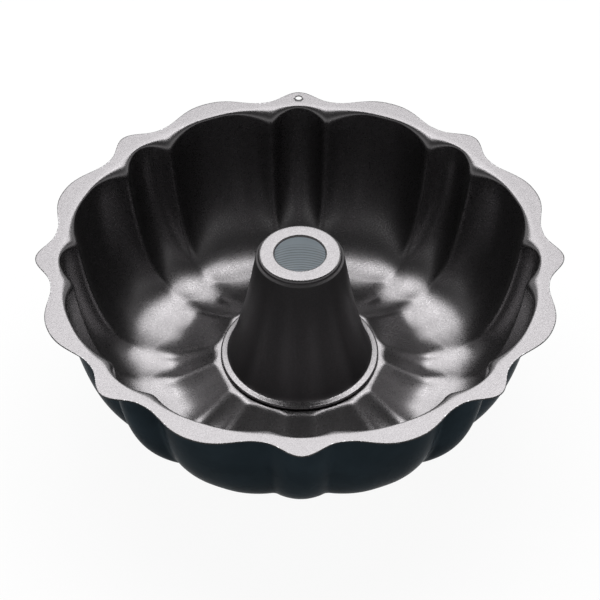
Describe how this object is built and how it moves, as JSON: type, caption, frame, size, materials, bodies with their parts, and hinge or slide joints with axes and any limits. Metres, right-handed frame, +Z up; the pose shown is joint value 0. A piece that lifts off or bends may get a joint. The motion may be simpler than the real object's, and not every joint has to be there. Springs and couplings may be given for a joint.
{
  "type": "fluted tube pan",
  "caption": "Round pressed steel baking pan with a fluted wall, a flat scalloped rim with a hanging hole, and a bell-shaped centre tube folded into its floor.",
  "frame": {"origin": "middle of the base, on the surface that the pan stands on", "axes": "+Z up along the centre tube, +Y towards the hanging hole in the rim"},
  "size_m": [0.2596, 0.2596, 0.0822],
  "materials": {
    "pan_coating": "satin non-stick coat on steel sheet, dark inside and blue-black outside",
    "tube_coating": "satin dark non-stick coat on drawn steel sheet"
  },
  "bodies": {
    "root": {"pan_shell": "pan_coating", "centre_tube": "tube_coating"}
  },
  "joints": []
}
